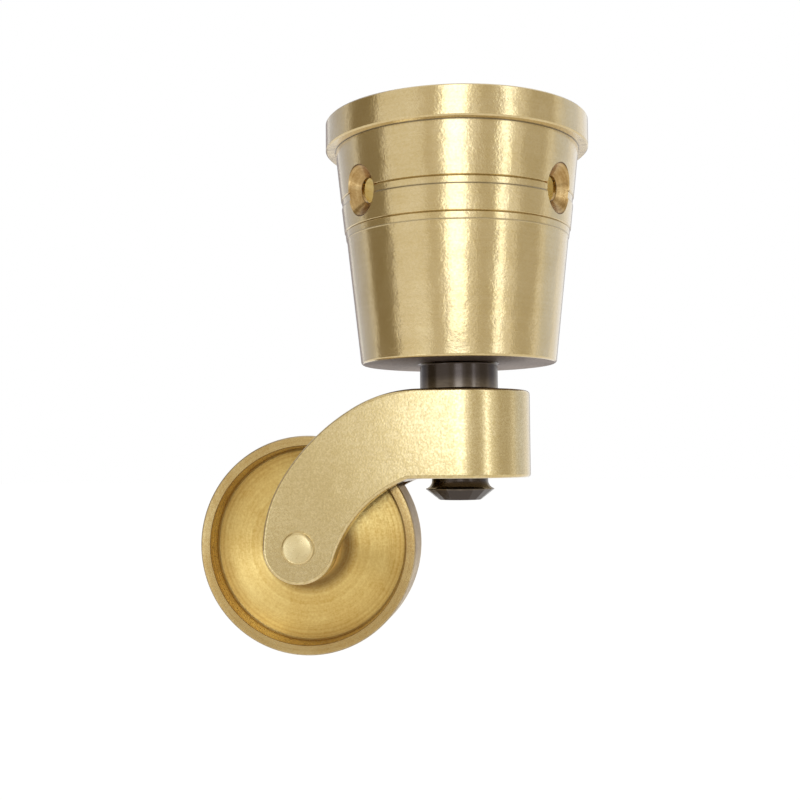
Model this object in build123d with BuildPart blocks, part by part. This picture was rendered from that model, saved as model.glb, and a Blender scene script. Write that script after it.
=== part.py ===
from build123d import *

import os
from math import acos, atan2, cos, hypot, radians, sin, tan

# Brass cup castor for a furniture leg: a tapered cup, a steel spindle riveted through its floor,
# a cast fork (the horn) that swivels on the spindle, and a turned wheel on a riveted axle.
# Millimetres. The swivel axis is Z, the cup's mouth is the plane z = 0, everything hangs below it,
# and at rest the horn trails towards -X with the axle along Y.

# Cup: outside
cup_height = 36.0
cup_body_r = 18.1           # body, just under the rim band
cup_half_angle = 6.2        # taper of the body from the swivel axis, degrees
rim_height = 4.3            # plain band round the mouth
rim_step = 1.43             # how far the band stands out from the body
rim_edge = 0.2              # edges of the band, broken with the tool
cup_foot_round = 0.4        # rounded edge round the bottom

# Cup: inside
cup_wall = 2.0              # measured level, from the body line to the socket
cup_floor = 4.0
mouth_chamfer = 0.4

# Cup: the two shallow turned grooves and the step under the lower one
groove_width = 1.15
groove_depth = 0.12
groove_nick = 0.14          # sharp line cut at the top of each groove, beyond its depth
upper_groove_drop = 11.6    # from the mouth to the top of the groove
lower_groove_drop = 16.35
body_step = 0.23            # below the lower groove the body is this much smaller in radius

# Cup: countersunk screw holes
screw_hole_r = 1.75
countersink_r = 3.65
countersink_angle = 100     # included, degrees
screw_drop = 12.0           # from the mouth
screw_turn = 6.5            # the pattern's middle, from the -Y side towards +X, degrees
screw_spread = 111          # between the two holes of the pair; the third is opposite
drill_depth = 2 * cup_wall  # clear of the wall on the inside

# Spindle
shank_r = 4.0               # through the cup's floor
rivet_head_r = 6.0          # spread head inside the socket
rivet_head_height = 1.5
neck_r = 5.75               # shoulder between cup and horn
neck_height = 3.85
neck_fillet = 0.35
journal_r = 4.15            # the horn turns on this
journal_gap = 0.05          # radial running clearance in the horn
shoulder_gap = 0.25         # between the shoulder and the boss
collar_r = 5.05             # sharp ridge of the spread lower end
collar_drop = 1.6           # from the boss's underside to that ridge
collar_land = 0.4           # the journal runs straight this far below the boss, then spreads
tip_r = 3.15
tip_height = 1.65
collar_facets = 16          # flats left by the hammer round the spread end
collar_turn = 4             # degrees

# Horn
boss_r = 10.4
boss_height = 12.65
cheek_thickness = 3.2
cheek_end_r = 5.2
edge_round = 0.5            # cast edges of the boss and the cheeks
trail = 22.2                # swivel axis to axle
axle_drop = 22.3            # top of the boss down to the axle
crown_r = 18.9              # first arc of the arm's back, leaving the boss
crown_turn = 30.7           # degrees
back_r = 30.0               # second, flatter arc
back_turn = 27.8            # degrees
under_r = 17.6              # hollow arc under the arm
crotch_x = 6.6              # where that arc meets the boss's underside
slot_clearance = 1.1        # round the wheel
bridge_end = 15.0           # the solid back between the cheeks ends here

# Wheel
wheel_r = 16.0
tread_width = 8.0
tread_edge = 0.2            # broken edge beside the tread
rim_ring = 1.45             # width of the flat ring beside the tread
recess_depth = 3.2
recess_draft = 6.5          # degrees
web_rise = 1.5              # the dished face climbs this much from the recess to the hub
hub_r = 5.0
hub_fillet = 2.4            # sweep of the face into the hub
hub_side_gap = 0.15         # each side, between hub and cheek

# Axle
axle_r = 1.65
axle_gap = 0.05             # radial running clearance in the wheel
head_r = 2.32
head_land = 0.35            # straight edge of the rivet head
head_dome = 0.45

# Heights down the swivel axis
cup_bottom = -cup_height
socket_floor = cup_bottom + cup_floor
neck_bottom = cup_bottom - neck_height
boss_top = neck_bottom - shoulder_gap
boss_bottom = boss_top - boss_height
ridge_z = boss_bottom - collar_drop
tip_z = ridge_z - tip_height
axle_z = boss_top - axle_drop
axle_x = -trail

slot_half = boss_r - cheek_thickness
hub_half = slot_half - hub_side_gap
tread_half = tread_width / 2


def body_radius(z):
    """Radius of the cup's tapered body line at height z."""
    return cup_body_r + (z + rim_height) * tan(radians(cup_half_angle))


def from_centre(centre, radius, angle):
    """Point at a distance from a centre, angle in radians from +X."""
    return (centre[0] + radius * cos(angle), centre[1] + radius * sin(angle))


def dome(radius, base, rise):
    """Three points of a dome's section: its edge, a point between, and its top on the axis."""
    sphere_r = (radius**2 + rise**2) / (2 * rise)
    half = atan2(radius, sphere_r - rise) / 2
    between = (sphere_r * sin(half), base + rise - sphere_r * (1 - cos(half)))
    return (radius, base), between, (0, base + rise)


def groove_points(drop, step):
    """Outline of a shallow groove, top to bottom: a sharp nick, the groove, and a body step."""
    top, bottom = -drop, -drop - groove_width
    floor_top = body_radius(top - groove_nick) - groove_depth
    return [
        (body_radius(top), top),
        (floor_top - groove_nick, top - groove_nick),
        (floor_top, top - 2 * groove_nick),
        (body_radius(bottom) - groove_depth, bottom),
        (body_radius(bottom) - step, bottom - groove_nick),
    ]


# Cup, turned, then drilled
with BuildPart() as cup:
    with BuildSketch(Plane.XZ) as cup_section:
        with BuildLine():
            Polyline(
                (shank_r, cup_bottom),
                (shank_r, socket_floor),
                (body_radius(socket_floor) - cup_wall, socket_floor),
                (body_radius(0) - cup_wall, 0),
                (cup_body_r + rim_step, 0),
                (cup_body_r + rim_step, -rim_height),
                (cup_body_r, -rim_height),
                *groove_points(upper_groove_drop, 0),
                *groove_points(lower_groove_drop, body_step),
                (body_radius(cup_bottom) - body_step, cup_bottom),
                close=True,
            )
        make_face()
        foot = cup_section.vertices().group_by(Axis.Y)[0].sort_by(Axis.X)[-1]
        fillet(foot, cup_foot_round)
        band = cup_section.vertices().group_by(Axis.X)[-1]
        chamfer(band, rim_edge)
        mouth = cup_section.vertices().group_by(Axis.Y)[-1].sort_by(Axis.X)[0]
        chamfer(mouth, mouth_chamfer)
    revolve(axis=Axis.Z)

    # Each hole is square to the tapered wall
    side_r = body_radius(-screw_drop)
    down = sin(radians(cup_half_angle))
    level = cos(radians(cup_half_angle))
    for bearing in (screw_turn - screw_spread / 2, screw_turn + screw_spread / 2, screw_turn + 180):
        away_x, away_y = sin(radians(bearing)), -cos(radians(bearing))
        surface_point = (side_r * away_x, side_r * away_y, -screw_drop)
        outward = (level * away_x, level * away_y, -down)
        with Locations(Plane(origin=surface_point, z_dir=outward)):
            CounterSinkHole(screw_hole_r, countersink_r, drill_depth, countersink_angle)
cup.part.label = "cup"

# Spindle: one turned pin, spread over at both ends
with BuildPart() as spindle:
    with BuildSketch(Plane.XZ):
        with BuildLine():
            head = ThreePointArc(*dome(rivet_head_r, socket_floor, rivet_head_height))
            flare_top = (neck_r + neck_fillet, cup_bottom)
            flare_end = (neck_r, cup_bottom - neck_fillet)
            journal_end = (journal_r, boss_bottom - collar_land)
            ridge = (collar_r, ridge_z)
            Polyline(head @ 0, (shank_r, socket_floor), (shank_r, cup_bottom), flare_top)
            TangentArc(flare_top, flare_end, tangent=(-1, 0))
            Polyline(flare_end, (neck_r, neck_bottom), (journal_r, neck_bottom), journal_end)
            TangentArc(journal_end, ridge, tangent=(0, -1))
            Polyline(ridge, (0, ridge_z), head @ 1)
        make_face()
    revolve(axis=Axis.Z)

    with BuildSketch(Plane.XY.offset(ridge_z)):
        RegularPolygon(collar_r, collar_facets, rotation=collar_turn)
    with BuildSketch(Plane.XY.offset(tip_z)):
        RegularPolygon(tip_r, collar_facets, rotation=collar_turn)
    loft()
spindle.part.label = "spindle"

# Horn: the arm's side outline, as wide as the boss, then the boss, the slot and the holes
axle_centre = (axle_x, axle_z)
crotch = (-crotch_x, boss_bottom)
end_turn = crown_turn + back_turn
drop_so_far = crown_r * (1 - cos(radians(crown_turn))) + back_r * (
    cos(radians(crown_turn)) - cos(radians(end_turn))
)
heel_r = (axle_drop - drop_so_far) / cos(radians(end_turn))  # lands level with the axle
crown_start_x = (
    axle_x
    - cheek_end_r
    + crown_r * sin(radians(crown_turn))
    + back_r * (sin(radians(end_turn)) - sin(radians(crown_turn)))
    + heel_r * (1 - sin(radians(end_turn)))
)

# Centre of the hollow arc: it passes through the crotch and touches the round end of the cheek
reach = hypot(crotch[0] - axle_x, crotch[1] - axle_z)
bearing = atan2(crotch[1] - axle_z, crotch[0] - axle_x)
to_under = under_r + cheek_end_r
spread = acos((to_under**2 + reach**2 - under_r**2) / (2 * to_under * reach))
under_centre = from_centre(axle_centre, to_under, bearing - spread)
toe = from_centre(axle_centre, cheek_end_r, bearing - spread)
toe_side = from_centre(axle_centre, cheek_end_r, (bearing - spread - radians(180)) / 2)
under_from = atan2(toe[1] - under_centre[1], toe[0] - under_centre[0]) % radians(360)
under_to = atan2(crotch[1] - under_centre[1], crotch[0] - under_centre[0]) % radians(360)
under_middle = from_centre(under_centre, under_r, (under_from + under_to) / 2)

with BuildPart() as horn:
    with BuildSketch(Plane.XZ):
        with BuildLine():
            crown = JernArc((crown_start_x, boss_top), (-1, 0), crown_r, crown_turn)
            back = JernArc(crown @ 1, crown % 1, back_r, back_turn)
            heel = JernArc(back @ 1, back % 1, heel_r, 90 - end_turn)
            ThreePointArc(heel @ 1, toe_side, toe)
            ThreePointArc(toe, under_middle, crotch)
            Polyline(crotch, (0, boss_bottom), (0, boss_top), (crown_start_x, boss_top))
        make_face()
    extrude(amount=boss_r, both=True)
    with BuildSketch(Plane.XY.offset(boss_bottom)):
        Circle(boss_r)
    extrude(amount=boss_height)

    # Cast edges: both flat sides' outlines and the boss's two rims
    across = horn.edges().group_by(Axis.Y)
    rims = horn.edges().filter_by(GeomType.CIRCLE).filter_by(lambda edge: edge.center().X > 0)
    fillet(across[0] + across[-1] + rims, edge_round)

    # Slot for the wheel, open above where the wheel shows between the cheeks
    with BuildSketch(Plane.XZ):
        with Locations(axle_centre):
            Circle(wheel_r + slot_clearance)
        with Locations((-bridge_end, axle_z)):
            Rectangle(trail + cheek_end_r - bridge_end, axle_drop, align=(Align.MAX, Align.MIN))
    extrude(amount=slot_half, both=True, mode=Mode.SUBTRACT)

    with Locations((0, 0, boss_top)):
        Hole(journal_r + journal_gap, depth=boss_height)
    with BuildSketch(Plane.XZ):
        with Locations(axle_centre):
            Circle(axle_r)
    extrude(amount=boss_r, both=True, mode=Mode.SUBTRACT)
horn.part.label = "horn"

# Wheel and axle are turned about one line; their sections run out from it (x) and along it (y)
axle_line = Axis((axle_x, 0, axle_z), (0, 1, 0))
turning_plane = Plane(origin=(axle_x, 0, axle_z), x_dir=(1, 0, 0), z_dir=(0, 0, 1))

recess_y = tread_half - recess_depth
recess_r = wheel_r - rim_ring - recess_depth * tan(radians(recess_draft))

with BuildPart() as wheel:
    with BuildSketch(turning_plane) as wheel_section:
        with BuildLine():
            Polyline(
                (axle_r + axle_gap, 0),
                (axle_r + axle_gap, hub_half),
                (hub_r, hub_half),
                (hub_r, recess_y + web_rise),
                (recess_r, recess_y),
                (wheel_r - rim_ring, tread_half),
                (wheel_r, tread_half),
                (wheel_r, 0),
                close=True,
            )
        make_face()
        corners = wheel_section.vertices()
        fillet(corners.sort_by_distance((hub_r, recess_y + web_rise))[0], hub_fillet)
        corners = wheel_section.vertices()
        chamfer(corners.sort_by_distance((wheel_r, tread_half))[0], tread_edge)
        mirror(about=Plane.XZ)
    revolve(axis=axle_line)
wheel.part.label = "wheel"

# Axle: a rivet through both cheeks, headed on each side
with BuildPart() as axle:
    with BuildSketch(turning_plane):
        with BuildLine():
            land_end = boss_r + head_land
            head = ThreePointArc(*dome(head_r, land_end, head_dome))
            Polyline(head @ 0, (head_r, boss_r), (axle_r, boss_r), (axle_r, 0), (0, 0), head @ 1)
        make_face()
        mirror(about=Plane.XZ)
    revolve(axis=axle_line)
axle.part.label = "axle"

os.makedirs("parts", exist_ok=True)
for piece in (cup, spindle, horn, wheel, axle):
    export_step(piece.part, f"parts/{piece.part.label}.step")
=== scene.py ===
import logging
import math
from collections.abc import Callable, Iterable, Sequence
from dataclasses import dataclass, field
from enum import Enum, IntEnum

import bmesh
import bpy
from mathutils import Matrix, Vector


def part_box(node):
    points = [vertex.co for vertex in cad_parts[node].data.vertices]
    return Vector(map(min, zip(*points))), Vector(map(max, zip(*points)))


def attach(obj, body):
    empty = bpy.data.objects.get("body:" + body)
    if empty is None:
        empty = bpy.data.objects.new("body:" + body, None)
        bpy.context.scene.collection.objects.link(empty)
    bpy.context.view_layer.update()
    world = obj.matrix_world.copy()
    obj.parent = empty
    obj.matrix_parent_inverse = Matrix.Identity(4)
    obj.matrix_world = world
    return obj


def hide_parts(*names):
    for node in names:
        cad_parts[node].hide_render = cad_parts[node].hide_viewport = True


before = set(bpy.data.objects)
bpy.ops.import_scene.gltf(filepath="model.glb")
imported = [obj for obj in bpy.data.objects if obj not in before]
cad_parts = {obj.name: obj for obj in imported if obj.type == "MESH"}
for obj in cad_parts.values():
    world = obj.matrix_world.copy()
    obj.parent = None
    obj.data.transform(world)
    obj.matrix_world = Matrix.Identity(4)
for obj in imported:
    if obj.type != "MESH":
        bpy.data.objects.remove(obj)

# Looks of a brass cup castor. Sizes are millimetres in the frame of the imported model: the swivel
# axis is Z, the cup's mouth is z = 0, the horn trails towards -X and the axle lies along Y.
#
# A pixel of the photograph covers about 0.15 mm of the castor. Turned marks and the pits of
# blasting lie 0.05 to 0.1 mm apart, which is too fine to show, so marks and grain are drawn
# 0.25 mm wide or more.

MM = 0.001
SHARP_TURN = math.radians(30)
TINY = 1e-6
FACING = 0.9  # cosine from which a face is taken to look along a direction
NOISE_SPAN = (0.3, 0.7)  # nearly all of a noise lies between these
TONE_SPAN = (0.35, 0.7)  # the same, with some of it left at the bright tone
WHITE = (1.0, 1.0, 1.0, 1.0)
Point = tuple[float, float]
log = logging.getLogger("castor")


def box_mm(node: str) -> tuple[Vector, Vector]:
    """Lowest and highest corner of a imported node, in mm."""
    low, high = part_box(node)
    return low / MM, high / MM


CUP_BOTTOM = box_mm("cup")[0].z
BOSS_TOP = box_mm("horn")[1].z
BOSS_HEIGHT = 12.65
BOSS_BOTTOM = BOSS_TOP - BOSS_HEIGHT
AXLE_CENTRE = sum(box_mm("axle"), Vector()) / 2
CHEEK_FACE = box_mm("horn")[1].y
CHEEK = 3.2
WHEEL_R = (box_mm("wheel")[1].z - box_mm("wheel")[0].z) / 2


class Body(Enum):
    """The rigid bodies that pieces ride on."""

    CUP = "cup"
    HORN = "horn"
    WHEEL = "wheel"


class CupFace(IntEnum):
    """The cup's faces, by the number of their finish. Each screw hole has one of its own."""

    OUTSIDE = 0
    UNDERSIDE = 1
    SOCKET = 2
    FIRST_HOLE = 3


class WheelFace(IntEnum):
    """The wheel's faces, by the number of their finish."""

    DISH_AND_HUB = 0
    RING = 1
    INNER_WALL = 2
    TREAD = 3


class Tooling(Enum):
    """How a surface was worked, which decides the way its marks run."""

    LATHE = "rings round the turning line"
    BELT = "level scratches from a grinding belt"


@dataclass(frozen=True)
class Line:
    """The line that a surface was turned or drilled about: a point on it in mm and its direction.

    Where both sides of the piece are alike, heights along the line count the same either way.
    """

    centre: tuple[float, float, float]
    direction: tuple[float, float, float]
    both_ways: bool = False

    def placed(self) -> Matrix:
        """The matrix that brings a piece turned about Z at the origin onto this line, in metres."""
        turn = Vector((0, 0, 1)).rotation_difference(Vector(self.direction))
        return Matrix.Translation(Vector(self.centre) * MM) @ turn.to_matrix().to_4x4()

    def coordinates(
        self, tree: bpy.types.NodeTree, place: bpy.types.NodeSocket
    ) -> tuple[bpy.types.NodeSocket, bpy.types.NodeSocket]:
        """Adds nodes that give a lathe's own coordinates.

        Args:
            tree: The material's nodes.
            place: The place on the object, in metres.

        Returns:
            Distance out from the line and along it, as X and Y, and the direction round the line.
        """
        from_line = add_node(
            tree,
            "ShaderNodeVectorMath",
            {"operation": "SUBTRACT"},
            {1: Vector(self.centre) * MM},
            {0: place},
        ).outputs[0]
        round_line = add_node(
            tree,
            "ShaderNodeVectorMath",
            {"operation": "CROSS_PRODUCT"},
            {0: self.direction},
            {1: from_line},
        ).outputs[0]
        along = add_node(
            tree,
            "ShaderNodeVectorMath",
            {"operation": "DOT_PRODUCT"},
            {1: self.direction},
            {0: from_line},
        ).outputs["Value"]
        if self.both_ways:
            along = add_node(
                tree, "ShaderNodeMath", {"operation": "ABSOLUTE"}, links={0: along}
            ).outputs[0]
        out = add_node(
            tree, "ShaderNodeVectorMath", {"operation": "LENGTH"}, links={0: round_line}
        ).outputs["Value"]
        lathe_place = add_node(
            tree, "ShaderNodeCombineXYZ", links={"X": out, "Y": along}
        ).outputs[0]
        return lathe_place, round_line


SWIVEL = Line((0.0, 0.0, 0.0), (0.0, 0.0, 1.0))
AXLE = Line(tuple(AXLE_CENTRE), (0.0, 1.0, 0.0), both_ways=True)


def linear(colour: str) -> tuple[float, float, float, float]:
    """Turns an sRGB hex colour into linear red, green, blue and alpha.

    Args:
        colour: The colour as "#rrggbb".

    Returns:
        Four linear channels, with alpha 1.
    """
    parts = [int(colour[at : at + 2], 16) / 255 for at in (1, 3, 5)]
    red, green, blue = (p / 12.92 if p <= 0.04045 else ((p + 0.055) / 1.055) ** 2.4 for p in parts)
    return red, green, blue, 1.0


def add_node(
    tree: bpy.types.NodeTree,
    kind: str,
    settings: dict | None = None,
    values: dict | None = None,
    links: dict | None = None,
) -> bpy.types.Node:
    """Adds a node with its settings, its constants and what feeds it.

    Args:
        tree: The node tree of a material or world.
        kind: Blender's class name of the node.
        settings: Attributes of the node.
        values: Constants by input name or number.
        links: Output sockets by input name or number.

    Returns:
        The new node.
    """
    node = tree.nodes.new(kind)
    for name, value in (settings or {}).items():
        setattr(node, name, value)
    for name, value in (values or {}).items():
        node.inputs[name].default_value = value
    for name, socket in (links or {}).items():
        tree.links.new(socket, node.inputs[name])
    return node


def empty_material(name: str) -> bpy.types.Material:
    """Makes a material with no nodes in it.

    Args:
        name: The material's name.

    Returns:
        The material.
    """
    made = bpy.data.materials.new(name)
    made.use_nodes = True
    made.node_tree.nodes.clear()
    return made


@dataclass(frozen=True)
class EdgeRing:
    """A thin ring of painted shade in a corner or on an edge, or of wear on an edge.

    The first two sizes say where it lies: its distance out from the line, and its height along it.
    """

    out_mm: float
    along_mm: float
    reach_mm: float
    strength: float

    def amount(
        self, tree: bpy.types.NodeTree, lathe_place: bpy.types.NodeSocket
    ) -> bpy.types.NodeSocket:
        """Adds nodes that fade away from the ring.

        Args:
            tree: The material's nodes.
            lathe_place: Distance out from the line and along it, in metres.

        Returns:
            The strength on the ring, falling to 0 at its reach.
        """
        away = add_node(
            tree,
            "ShaderNodeVectorMath",
            {"operation": "DISTANCE"},
            {1: (self.out_mm * MM, self.along_mm * MM, 0.0)},
            {0: lathe_place},
        ).outputs["Value"]
        return add_node(
            tree,
            "ShaderNodeMapRange",
            {"interpolation_type": "SMOOTHSTEP"},
            {"From Min": 0.0, "From Max": self.reach_mm * MM, "To Min": self.strength, "To Max": 0.0},
            {"Value": away},
        ).outputs[0]


@dataclass(frozen=True)
class Brass:
    """A brass finish: two close tones, tool marks, a fine grain, soft waves and painted shade in corners
    and on edges.

    Turned marks run round the line, so a lamp's reflection is drawn out across them. Depths are of
    the relief, and widths are of the noise that makes it. Clear lacquer whitens lamps and grazing
    edges.
    """

    name: str
    bright: str
    deep: str
    roughness: float
    anisotropy: float = 0.0
    line: Line = SWIVEL
    tooling: Tooling = Tooling.LATHE
    patches: float = 0.4
    streaks: float = 0.3
    flecks: float = 0.3
    grain_mm: float = 0.25
    grain_depth_mm: float = 0.003
    mark_mm: float = 0.3
    mark_depth_mm: float = 0.001
    wave_mm: float = 5.0
    wave_depth_mm: float = 0.04
    # The colour of the painted shade in corners and on edges, its rings, and how much they dull the gloss
    painted_shade_colour: str = "#4a3a22"
    painted_shade: tuple[EdgeRing, ...] = ()
    shade_roughens: float = 0.25
    roughness_spread: float = 0.15
    belt_stretch: float = 0.05
    lacquer: float = 0.0

    def tone(
        self, tree: bpy.types.NodeTree, noises: Sequence[bpy.types.NodeSocket]
    ) -> bpy.types.NodeSocket:
        """Mixes the two tones: mostly even, a little deeper in patches, along marks and in flecks.

        Args:
            tree: The material's nodes.
            noises: The waves, the marks and the grain.

        Returns:
            The colour.
        """
        depth = None
        for noise, share in zip(noises, (self.patches, self.streaks, self.flecks)):
            part = add_node(
                tree,
                "ShaderNodeMapRange",
                values={"From Min": TONE_SPAN[0], "From Max": TONE_SPAN[1], "To Min": 0.0, "To Max": share},
                links={"Value": noise},
            ).outputs[0]
            depth = part if depth is None else add_node(
                tree, "ShaderNodeMath", {"operation": "ADD", "use_clamp": True}, links={0: depth, 1: part}
            ).outputs[0]
        return add_node(
            tree,
            "ShaderNodeMix",
            {"data_type": "RGBA"},
            {"A": linear(self.bright), "B": linear(self.deep)},
            {"Factor": depth},
        ).outputs["Result"]

    def add_painted_shade(
        self,
        tree: bpy.types.NodeTree,
        lathe_place: bpy.types.NodeSocket,
        colour: bpy.types.NodeSocket,
        rough: bpy.types.NodeSocket,
    ) -> tuple[bpy.types.NodeSocket, bpy.types.NodeSocket]:
        """Darkens and dulls the corners and edges where shade is painted.

        Args:
            tree: The material's nodes.
            lathe_place: Distance out from the line and along it, in metres.
            colour: The colour without the painted shade.
            rough: The roughness without the painted shade.

        Returns:
            The colour and the roughness with the painted shade on.
        """
        if not self.painted_shade:
            return colour, rough
        amount = None
        for ring in self.painted_shade:
            near = ring.amount(tree, lathe_place)
            amount = near if amount is None else add_node(
                tree, "ShaderNodeMath", {"operation": "MAXIMUM"}, links={0: amount, 1: near}
            ).outputs[0]
        darker = add_node(
            tree,
            "ShaderNodeMix",
            {"data_type": "RGBA"},
            {"B": linear(self.painted_shade_colour)},
            {"Factor": amount, "A": colour},
        ).outputs["Result"]
        duller = add_node(
            tree,
            "ShaderNodeMath",
            {"operation": "MULTIPLY_ADD", "use_clamp": True},
            {1: self.shade_roughens},
            {0: amount, 2: rough},
        ).outputs[0]
        return darker, duller

    def relief(
        self, tree: bpy.types.NodeTree, noises: Sequence[bpy.types.NodeSocket]
    ) -> bpy.types.NodeSocket:
        """Adds the relief, coarse to fine.

        Args:
            tree: The material's nodes.
            noises: The waves, the marks and the grain.

        Returns:
            The normal.
        """
        normal = None
        depths = (self.wave_depth_mm, self.mark_depth_mm, self.grain_depth_mm)
        for height, depth in zip(noises, depths):
            links = {"Height": height} | ({"Normal": normal} if normal else {})
            normal = add_node(
                tree, "ShaderNodeBump", values={"Distance": depth * MM}, links=links
            ).outputs[0]
        return normal

    def material(self) -> bpy.types.Material:
        """Builds the material.

        Returns:
            The material, with a metal that keeps the default IOR.
        """
        made = empty_material(self.name)
        tree = made.node_tree
        place = add_node(tree, "ShaderNodeTexCoord").outputs["Object"]
        lathe_place, round_line = self.line.coordinates(tree, place)

        # The way that the marks run, along which the reflection stays sharp
        tangent = add_node(
            tree,
            "ShaderNodeVectorTransform",
            {"vector_type": "VECTOR", "convert_from": "OBJECT", "convert_to": "WORLD"},
            links={0: round_line},
        ).outputs[0]
        marks_place = lathe_place
        if self.tooling is Tooling.BELT:
            marks_place = add_node(
                tree,
                "ShaderNodeMapping",
                values={"Scale": (self.belt_stretch, self.belt_stretch, 1.0)},
                links={"Vector": place},
            ).outputs[0]
        noises = [
            add_node(
                tree,
                "ShaderNodeTexNoise",
                values={"Scale": 1 / (width * MM), "Detail": detail, "Roughness": fineness},
                links={"Vector": where},
            ).outputs["Fac"]
            for where, width, detail, fineness in (
                (place, self.wave_mm, 2.0, 0.45),
                (marks_place, self.mark_mm, 3.0, 0.6),
                (place, self.grain_mm, 2.0, 0.55),
            )
        ]

        # The grain breaks up the gloss, and a quarter turn draws a lamp out across the marks
        rough = add_node(
            tree,
            "ShaderNodeMapRange",
            values={
                "From Min": NOISE_SPAN[0],
                "From Max": NOISE_SPAN[1],
                "To Min": self.roughness * (1 - self.roughness_spread),
                "To Max": self.roughness * (1 + self.roughness_spread),
            },
            links={"Value": noises[-1]},
        ).outputs[0]
        colour, rough = self.add_painted_shade(tree, lathe_place, self.tone(tree, noises), rough)
        normal = self.relief(tree, noises)
        shader = add_node(
            tree,
            "ShaderNodeBsdfPrincipled",
            values={
                "Metallic": 1.0,
                "Anisotropic": self.anisotropy,
                "Anisotropic Rotation": 0.25,
                "Coat Weight": self.lacquer,
                "Coat Roughness": self.roughness,
            },
            links={"Base Color": colour, "Roughness": rough, "Normal": normal, "Tangent": tangent},
        )
        add_node(tree, "ShaderNodeOutputMaterial", links={"Surface": shader.outputs[0]})
        return made


# A casting dressed on a belt, then blasted: even, faintly sandy, with faint level scratches
BLASTED_CAST_BRASS = Brass(
    "blasted_cast_brass", "#dac592", "#c4ac72", 0.22, tooling=Tooling.BELT, patches=0.3, streaks=0.25,
    flecks=1.0, grain_mm=0.3, grain_depth_mm=0.012, mark_mm=0.35, mark_depth_mm=0.003,
    wave_mm=6.0, wave_depth_mm=0.05, lacquer=1.0,
)
# Left as it came from the sand: dull and brown, and dark as painted shade inside the fork
AS_CAST_SHADED_BRASS = Brass(
    "as_cast_shaded_brass", "#7d5c33", "#54391c", 0.5, patches=0.5, flecks=0.5, grain_mm=0.4,
    grain_depth_mm=0.02, wave_mm=3.0,
)
# Struck over with a snap: soft small dents, with painted shade in a ring where the head meets the cheek
PEENED_BRASS = Brass(
    "peened_brass", "#dfcb98", "#cfb984", 0.3, line=AXLE, streaks=0.1, grain_depth_mm=0.005,
    wave_mm=1.4, wave_depth_mm=0.01, lacquer=0.5,
    painted_shade=(EdgeRing(2.4, CHEEK_FACE, 0.22, 0.95),),
)
# Sawn off and left: a dull mauve-brown skin, darkened as painted shade under the cup
UNDERSIDE_SHADE_BRASS = Brass(
    "shaded_underside_brass", "#8d7c70", "#6f5f54", 0.42, patches=0.6, flecks=0.6, grain_mm=0.35,
    grain_depth_mm=0.01, mark_mm=0.4, mark_depth_mm=0.004,
)
# Rough-bored inside: deep gold, with clear tool rings
BORED_BRASS = Brass(
    "bored_brass", "#f0dfa4", "#dcc27c", 0.5, 0.4, streaks=0.7, mark_mm=0.5, mark_depth_mm=0.008,
)


@dataclass(frozen=True)
class BlackenedSteel:
    """Steel dipped hot in oil: a brown-black skin, glossy where it is turned, worn grey on its edges."""

    worn_edges: tuple[EdgeRing, ...]
    name: str = "oil_blackened_steel"
    skin: str = "#433b35"
    worn: str = "#7f7261"
    roughness: float = 0.19
    smoothest: float = 0.75
    roughest: float = 1.35
    mark_mm: float = 0.3
    mark_stretch: float = 0.25
    mark_depth_mm: float = 0.004

    def material(self) -> bpy.types.Material:
        """Builds the material.

        Returns:
            The material, with a metal that keeps the default IOR.
        """
        made = empty_material(self.name)
        tree = made.node_tree
        place = add_node(tree, "ShaderNodeTexCoord").outputs["Object"]
        stretched = add_node(
            tree,
            "ShaderNodeMapping",
            values={"Scale": (self.mark_stretch, self.mark_stretch, 1.0)},
            links={"Vector": place},
        ).outputs[0]
        marks = add_node(
            tree,
            "ShaderNodeTexNoise",
            values={"Scale": 1 / (self.mark_mm * MM), "Detail": 4.0, "Roughness": 0.65},
            links={"Vector": stretched},
        ).outputs["Fac"]

        # Wear sits on the raised edges, and is broken up by the marks
        lathe_place, _ = SWIVEL.coordinates(tree, place)
        colour = None
        for edge in self.worn_edges:
            rub = add_node(
                tree,
                "ShaderNodeMath",
                {"operation": "MULTIPLY", "use_clamp": True},
                links={0: edge.amount(tree, lathe_place), 1: marks},
            ).outputs[0]
            colour = add_node(
                tree,
                "ShaderNodeMix",
                {"data_type": "RGBA"},
                {"A": linear(self.skin), "B": linear(self.worn)},
                {"Factor": rub} | ({"A": colour} if colour else {}),
            ).outputs["Result"]
        rough = add_node(
            tree,
            "ShaderNodeMapRange",
            values={
                "From Min": NOISE_SPAN[0],
                "From Max": NOISE_SPAN[1],
                "To Min": self.roughness * self.smoothest,
                "To Max": self.roughness * self.roughest,
            },
            links={"Value": marks},
        ).outputs[0]
        relief = add_node(
            tree,
            "ShaderNodeBump",
            values={"Distance": self.mark_depth_mm * MM},
            links={"Height": marks},
        ).outputs[0]
        shader = add_node(
            tree,
            "ShaderNodeBsdfPrincipled",
            values={"Metallic": 1.0},
            links={"Base Color": colour, "Roughness": rough, "Normal": relief},
        )
        add_node(tree, "ShaderNodeOutputMaterial", links={"Surface": shader.outputs[0]})
        return made


@dataclass(frozen=True)
class Corner:
    """A corner of a section or outline: its two coordinates and the radius that rounds it, in mm."""

    across: float
    along: float
    radius: float = 0.0


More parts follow.
